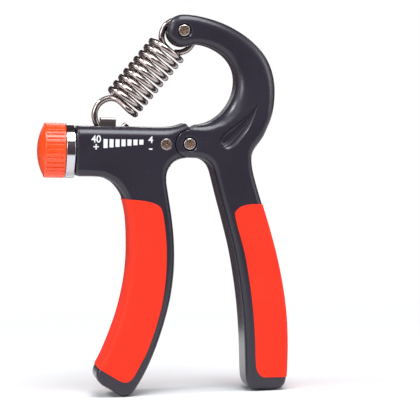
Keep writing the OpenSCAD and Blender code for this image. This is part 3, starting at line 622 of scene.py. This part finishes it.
def rivet(name, place, half):
    """A hollow rivet with a rolled rim at each end and a rough floor inside."""
    r, hole, deep = PIN_R, 1.56, 1.0
    end = [(half - 0.5, r), (half - 0.22, r - 0.01), (half - 0.07, r - 0.12), (half, r - 0.32),
           (half - 0.04, r - 0.52), (half - 0.18, hole + 0.08), (half - 0.4, hole), (half - deep + 0.15, hole - 0.05),
           (half - deep, hole - 0.25), (half - deep + 0.06, 0.5), (half - deep + 0.05, 0.01)]
    profile = end[::-1] + [(-along, radius) for along, radius in end]
    piece = spun(name, profile, (place[0], 0, place[1]), (0, 1, 0), 72)
    soften(piece, 0, smooth=45)
    return piece


def copy_of(node, name):
    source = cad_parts[node]
    piece = source.copy()
    piece.data = source.data.copy()
    piece.name = name
    piece.parent = None
    piece.matrix_world = Matrix.Identity(4)
    for key in list(piece.keys()):
        if key.startswith("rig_"):
            del piece[key]
    scene.collection.objects.link(piece)
    piece.data.materials.clear()
    select_only(piece)
    bpy.ops.object.mode_set(mode="EDIT")
    bpy.ops.mesh.select_all(action="SELECT")
    bpy.ops.mesh.remove_doubles(threshold=1e-6)
    bpy.ops.object.mode_set(mode="OBJECT")
    return piece


def label(name, body, x, z, size, stretch=1.0):
    bpy.ops.object.text_add(location=(x, -HALF_T - 0.03, z), rotation=(pi / 2, 0, 0))
    sign = bpy.context.object
    sign.name = name
    sign.data.body = body
    sign.data.size = size
    sign.data.align_x = "CENTER"
    sign.data.align_y = "CENTER"
    sign.data.offset = 0.06
    sign.data.extrude = 0.02
    sign.scale = (stretch, 1, 1)
    bpy.ops.object.convert(target="MESH")
    return bpy.context.object


def scale_print():
    pieces = [label("scale_high", "40", -36.2, 1.15, 3.9, 0.95), label("scale_low", "4", -15.2, 1.25, 3.7)]
    pieces += [label("scale_more", "+", -36.2, -1.9, 4.2), label("scale_less", "-", -15.2, -1.9, 4.2, 1.2)]
    count = 7
    for k in range(count):
        x = -32.6 + k * 2.3
        low = -2.1 + 1.5 * k / (count - 1)
        bar = block((x - 0.78, -HALF_T - 0.05, low), (x + 0.78, -HALF_T - 0.01, 1.3))
        bar.name = "scale_bar_%d" % (k + 1)
        apply_modifier(bar, "BEVEL", width=0.015, segments=1, limit_method="NONE")
        pieces.append(bar)
    return pieces


# ---- Finishes ------------------------------------------------------------------------------

class Amount:
    """A socket in a material that takes part in sums."""

    def __init__(self, finish, socket):
        self.finish, self.socket = finish, socket

    def sum(self, operation, *values):
        return self.finish.add("ShaderNodeMath", {"operation": operation}, *values)

    def __add__(self, other):
        return self.sum("ADD", self, other)

    def __mul__(self, other):
        return self.sum("MULTIPLY", self, other)

    def __rsub__(self, other):
        return self.sum("SUBTRACT", other, self)

    __radd__ = __add__
    __rmul__ = __mul__


class Finish:
    """A material with its shader's constants, and the nodes that vary it."""

    def __init__(self, name, **constants):
        self.material = bpy.data.materials.new(name)
        self.material.use_nodes = True
        self.tree = self.material.node_tree
        self.shader = self.tree.nodes["Principled BSDF"]
        for key, value in constants.items():
            self.shader.inputs[key.replace("_", " ")].default_value = value
        self.place = self.add("ShaderNodeTexCoord", {}, out="Object")

    def add(self, kind, settings, *values, out=0, **named):
        """Adds a node, sets it, links or fills its sockets, and gives the socket asked for."""
        node = self.tree.nodes.new(kind)
        for key, value in settings.items():
            setattr(node, key, value)
        for key, value in list(enumerate(values)) + list(named.items()):
            socket = node.inputs[key.replace("_", " ") if isinstance(key, str) else key]
            if isinstance(value, Amount):
                self.tree.links.new(value.socket, socket)
            else:
                socket.default_value = value
        return Amount(self, node.outputs[out])

    def noise(self, scale, detail=3.0, roughness=0.5, place=None):
        return self.add("ShaderNodeTexNoise", {}, Vector=place or self.place, Scale=scale, Detail=detail,
                        Roughness=roughness)

    def stretch(self, scale):
        return self.add("ShaderNodeMapping", {}, Vector=self.place, Scale=scale)

    def fit(self, value, low, high, to_low, to_high):
        return self.add("ShaderNodeMapRange", {"interpolation_type": "SMOOTHSTEP"}, value, low, high, to_low, to_high)

    def mix(self, factor, a, b):
        """A colour between a and b."""
        node = self.tree.nodes.new("ShaderNodeMix")
        node.data_type = "RGBA"
        for socket, value in ((node.inputs[0], factor), (node.inputs[6], a), (node.inputs[7], b)):
            if isinstance(value, Amount):
                self.tree.links.new(value.socket, socket)
            else:
                socket.default_value = value if socket is node.inputs[0] else (*value, 1)
        return Amount(self, node.outputs[2])

    def bump(self, height, strength, distance):
        return self.add("ShaderNodeBump", {}, Strength=strength, Distance=distance, Height=height)

    def axis(self, letter):
        return self.add("ShaderNodeSeparateXYZ", {}, self.place, out=letter)

    def set(self, **sockets):
        for key, value in sockets.items():
            self.tree.links.new(value.socket, self.shader.inputs[key.replace("_", " ")])
        return self.material


def moulded_charcoal():
    f = Finish("moulded_charcoal", Specular_IOR_Level=0.5)
    cloud = f.noise(60, 4)
    grain = f.noise(2600, 2)
    speck = f.fit(f.noise(1500, 1), 0.66, 0.74, 0, 1)
    colour = f.mix(cloud, (0.019, 0.0158, 0.024), (0.028, 0.0245, 0.037))
    colour = f.mix(speck * 0.12, colour, (0.07, 0.06, 0.08))
    scuff = f.fit(f.noise(1.0, 5, 0.6, f.stretch((260, 260, 900))), 0.62, 0.8, 0, 1)
    rough = 0.2 + cloud * 0.06 + grain * 0.05 + scuff * 0.03
    return f.set(Base_Color=colour, Roughness=rough, Normal=f.bump(grain, 0.16, 0.00005))


def rubber(name, low, high, grain_scale):
    f = Finish(name, Specular_IOR_Level=0.3)
    cloud = f.noise(90, 4)
    grain = f.noise(grain_scale, 3, 0.6)
    dust = f.fit(f.noise(420, 5, 0.65), 0.6, 0.8, 0, 0.2)
    colour = f.mix(cloud, low, high)
    colour = f.mix(dust, colour, tuple(0.85 * v + 0.05 for v in high))
    return f.set(Base_Color=colour, Roughness=0.46 + grain * 0.2 + dust * 0.2,
                 Normal=f.bump(grain, 0.25, 0.00008))


def knob_plastic():
    f = Finish("knob_plastic", Specular_IOR_Level=0.5, Coat_Weight=0.3, Coat_Roughness=0.25)
    cloud = f.noise(110, 3)
    grain = f.noise(2400, 2)
    colour = f.mix(cloud, (0.90, 0.06, 0.003), (0.97, 0.08, 0.006))
    return f.set(Base_Color=colour, Roughness=0.22 + grain * 0.12, Normal=f.bump(grain, 0.12, 0.00005))


def bright_chrome():
    f = Finish("bright_chrome", Metallic=1.0)
    streak = f.noise(1.0, 3, 0.5, f.stretch((3200, 60, 60)))
    haze = f.noise(170, 4)
    colour = f.mix(haze, (0.54, 0.54, 0.57), (0.67, 0.67, 0.70))
    return f.set(Base_Color=colour, Roughness=0.05 + haze * 0.08 + streak * 0.04,
                 Normal=f.bump(streak, 0.06, 0.00003))


def nickel_wire():
    f = Finish("nickel_wire", Metallic=1.0)
    haze = f.noise(260, 5, 0.6)
    marks = f.noise(1900, 4, 0.6)
    colour = f.mix(haze, (0.38, 0.31, 0.29), (0.58, 0.525, 0.51))
    spots = f.fit(f.noise(900, 3), 0.68, 0.8, 0, 0.5)
    colour = f.mix(spots, colour, (0.28, 0.2, 0.17))
    return f.set(Base_Color=colour, Roughness=0.13 + haze * 0.14 + spots * 0.2, Normal=f.bump(marks, 0.14, 0.00004))


def rivet_steel(name, half):
    """Bright rim, and a dull granular floor below it, painted dark: its own grit, with painted shade of the hollow."""
    f = Finish(name, Metallic=1.0)
    y = f.add("ShaderNodeMath", {"operation": "ABSOLUTE"}, f.axis("Y"))
    inside = f.fit(y, (half - 0.75) * 0.001, (half - 0.35) * 0.001, 1, 0)
    haze = f.noise(500, 4)
    grit = f.noise(1900, 3, 0.7)
    # The floor's colour is partly the rough grit's own brown and partly painted shade of the hollow.
    floor = f.mix(f.fit(grit, 0.38, 0.64, 0, 1), (0.05, 0.026, 0.018), (0.44, 0.29, 0.21))
    colour = f.mix(inside, f.mix(haze, (0.64, 0.57, 0.53), (0.82, 0.77, 0.74)), floor)
    return f.set(Base_Color=colour, Roughness=0.2 + haze * 0.12 + inside * 0.32,
                 Metallic=1 - inside * 0.45, Normal=f.bump(grit, 0.5, 0.00012))


def plated_steel():
    f = Finish("plated_steel", Metallic=1.0)
    brushed = f.noise(1.0, 4, 0.6, f.stretch((120, 3000, 3000)))
    haze = f.noise(300, 4)
    colour = f.mix(haze, (0.30, 0.275, 0.26), (0.46, 0.43, 0.41))
    return f.set(Base_Color=colour, Roughness=0.2 + haze * 0.14 + brushed * 0.1, Normal=f.bump(brushed, 0.12, 0.00004))


def nylon():
    f = Finish("natural_nylon", Specular_IOR_Level=0.4)
    cloud = f.noise(120, 4)
    grain = f.noise(2200, 2)
    return f.set(Base_Color=f.mix(cloud, (0.62, 0.60, 0.53), (0.74, 0.73, 0.67)), Roughness=0.44 + grain * 0.16,
                 Normal=f.bump(grain, 0.15, 0.00005))


def white_print():
    f = Finish("white_print", Specular_IOR_Level=0.4)
    wear = f.fit(f.noise(2400, 4, 0.7), 0.55, 0.8, 0, 0.35)
    return f.set(Base_Color=f.mix(wear, (0.82, 0.82, 0.84), (0.42, 0.41, 0.44)), Roughness=0.5 + wear * 0.4)


# ---- Making the object ---------------------------------------------------------------------

charcoal = moulded_charcoal()
inlay_rubber = rubber("orange_rubber", (0.86, 0.020, 0.003), (0.96, 0.031, 0.006), 2300)
knob_finish = knob_plastic()
chrome = bright_chrome()
wire_finish = nickel_wire()
steel = plated_steel()
natural = nylon()
print_finish = white_print()


def dress(piece, material):
    piece.data.materials.clear()
    piece.data.materials.append(material)
    return piece


stand_up(dress(left_lever(), charcoal), "left_lever", "body", "left_frame")
stand_up(dress(right_lever(), charcoal), "right_lever", "body", "right_frame")

left_inlay = inlay(rounded_slab("left_inlay", LEFT_KNOTS, PAD_PROUD), LEFT_PAD, LEFT_CORE)
soften(left_inlay, PAD_EDGE)
stand_up(dress(left_inlay, inlay_rubber), "left_lever", "grip", "left_grip")
right_inlay = right_body("right_inlay", PAD_PROUD)
inlay(right_inlay, RIGHT_PAD, RIGHT_CORE)
soften(right_inlay, PAD_EDGE)
stand_up(dress(right_inlay, inlay_rubber), "right_lever", "grip", "right_grip")

stand_up(dress(knob(), knob_finish), "adjuster", "knob", "adjuster_knob")
stand_up(dress(chrome_ring(), chrome), "adjuster", "chrome", "knob_ring")

for name, node, place, half, body in (
        ("pivot_rivet", "pivot_pin", PIVOT, HALF_T - RIVET_SUNK, "right_lever"),
        ("cross_rivet", "cross_pin", CROSS, HALF_T - RIVET_SUNK, "left_lever"),
        ("anchor_rivet", "anchor_pin", ANCHOR, ARM_HALF_T - RIVET_SUNK, "anchor")):
    stand_up(dress(rivet(name, place, half), rivet_steel(name + "_steel", half)), body, "steel", node)

saddle = copy_of("hook_saddle", "hook_saddle_bar")
apply_modifier(saddle, "BEVEL", width=0.0005, segments=4, limit_method="ANGLE", angle_limit=radians(60))
soften(saddle, 0)
settle(dress(saddle, steel), "slider", "steel", "hook_saddle")

coil = dress(spring(), wire_finish)
select_only(coil)
coil.matrix_world = STAND
bpy.ops.object.transform_apply(location=True, rotation=True, scale=True)


def stood(x, z):
    return tuple(STAND @ Vector((x, 0, z)))


stood(*toward(ANCHOR, HOOK, 7))
stood(*toward(ANCHOR, HOOK, HOOK_MID - 8))
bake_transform(coil)
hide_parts("tension_spring")

for sign in scale_print():
    stand_up(dress(sign, print_finish), "left_lever", "nylon")

for node, material in (("knob_insert", steel), ("knob_screw", steel), ("adjuster_screw", steel), ("screw_clip", steel),
                       ("slider_nut", steel), ("pivot_washers", natural), ("thrust_washer", natural),
                       ("end_bush", natural), ("tail_bearing", natural)):
    dress(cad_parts[node], material)

# ---- Stage ---------------------------------------------------------------------------------


def floor_paint():
    """Matt white paint that keeps the shadow, and turns into the white backdrop further out."""
    f = Finish("floor_paint", Roughness=0.9)
    f.shader.inputs["Base Color"].default_value = (0.82, 0.82, 0.82, 1)
    away = f.add("ShaderNodeVectorMath", {"operation": "LENGTH"}, f.place, out="Value")
    backdrop = f.fit(away, 0.1, 0.42, 0, 1)
    rays = {kind: f.add("ShaderNodeLightPath", {}, out=kind)
            for kind in ("Is Camera Ray", "Is Glossy Ray", "Is Transmission Ray")}
    seen = rays["Is Camera Ray"] + rays["Is Glossy Ray"] + rays["Is Transmission Ray"]
    glow = f.add("ShaderNodeEmission", {}, Color=(1, 1, 1, 1), Strength=1.0)
    both = f.add("ShaderNodeMixShader", {}, seen * backdrop, Amount(f, f.shader.outputs[0]), glow)
    f.tree.links.new(both.socket, f.tree.nodes["Material Output"].inputs["Surface"])
    return f.material


bpy.ops.mesh.primitive_plane_add(size=30, location=(0, 0, -0.0002))
floor = bpy.context.object
floor.name = "floor"
dress(floor, floor_paint())


def studio_world():
    """White to the camera, to metal and to glass, and an even grey-white light on the rest."""
    world = scene.world or bpy.data.worlds.new("studio")
    scene.world = world
    world.use_nodes = True
    nodes, links = world.node_tree.nodes, world.node_tree.links
    nodes.clear()
    path = nodes.new("ShaderNodeLightPath")
    seen = path.outputs["Is Camera Ray"]
    for kind in ("Is Glossy Ray", "Is Transmission Ray"):
        either = nodes.new("ShaderNodeMath")
        either.operation = "MAXIMUM"
        links.new(seen, either.inputs[0])
        links.new(path.outputs[kind], either.inputs[1])
        seen = either.outputs[0]
    mix = nodes.new("ShaderNodeMixShader")
    links.new(seen, mix.inputs[0])
    for socket, strength, colour in ((1, 0.36, (0.94, 0.96, 1)), (2, 1, (1, 1, 1))):
        light = nodes.new("ShaderNodeBackground")
        light.inputs["Strength"].default_value = strength
        light.inputs["Color"].default_value = (*colour, 1)
        links.new(light.outputs[0], mix.inputs[socket])
    links.new(mix.outputs[0], nodes.new("ShaderNodeOutputWorld").inputs[0])


studio_world()


def dark_cloth():
    f = Finish("dark_cloth", Specular_IOR_Level=0.1, Roughness=0.95)
    return f.set(Base_Color=f.mix(f.noise(6, 3), (0.05, 0.036, 0.04), (0.085, 0.062, 0.07)))


cloth_finish = dark_cloth()


def cloth(name, corners):
    """A dark cloth beside the stage, which shows only as the dark bands in bright surfaces."""
    bpy.ops.mesh.primitive_plane_add(size=1)
    piece = bpy.context.object
    piece.name = name
    a, b, c, d = corners
    for vertex, place in zip(piece.data.vertices, (a, b, d, c)):
        vertex.co = place
    for kind in ("camera", "diffuse", "transmission", "volume_scatter", "shadow"):
        setattr(piece, "visible_" + kind, False)
    dress(piece, cloth_finish)


cloth("front_cloth", ((-0.5, -0.3, 0.001), (0.7, -0.3, 0.001), (0.7, -1.15, 1.1), (-0.5, -1.15, 1.1)))
cloth("back_cloth", ((-1.2, 1.3, 0.38), (1.2, 1.3, 0.38), (1.2, 0.45, 1.25), (-1.2, 0.45, 1.25)))
cloth("top_cloth", ((-1.2, 0.45, 1.25), (1.2, 0.45, 1.25), (1.2, -0.2, 1.25), (-1.2, -0.2, 1.25)))
cloth("low_cloth", ((-0.3, 0.2, 0.0005), (0.15, 0.2, 0.0005), (0.15, 0.24, 0.14), (-0.3, 0.24, 0.14)))
cloth("left_cloth", ((-1.2, 0.2, 0.001), (-0.55, 1.25, 0.001), (-0.55, 1.25, 0.7), (-1.2, 0.2, 0.7)))
cloth("right_cloth", ((1.2, 0.2, 0.001), (0.62, 1.25, 0.001), (0.62, 1.25, 0.7), (1.2, 0.2, 0.7)))


def soft_box(name, place, size, power, colour=(1, 1, 1)):
    bpy.ops.object.light_add(type="AREA", location=place)
    lamp = bpy.context.object
    lamp.name = name
    lamp.data.shape = "RECTANGLE"
    lamp.data.size, lamp.data.size_y = size
    lamp.data.energy = power
    lamp.data.color = colour
    aim = Vector((0, 0, 0.08)) - Vector(place)
    lamp.rotation_euler = aim.to_track_quat("-Z", "Y").to_euler()


soft_box("key_light", (-0.85, -0.72, 0.5), (0.4, 0.4), 3)
soft_box("top_light", (0.1, -0.42, 0.9), (0.55, 0.62), 8.5, (0.93, 0.96, 1))
soft_box("edge_light", (-0.6, -0.1, 0.8), (0.19, 0.19), 3.2, (0.95, 0.97, 1))
soft_box("side_light", (0.9, -0.4, 0.5), (0.3, 0.5), 1.4)
soft_box("back_light", (0.3, 0.9, 0.6), (0.6, 0.4), 2.2)

scene.view_settings.view_transform = "Standard"
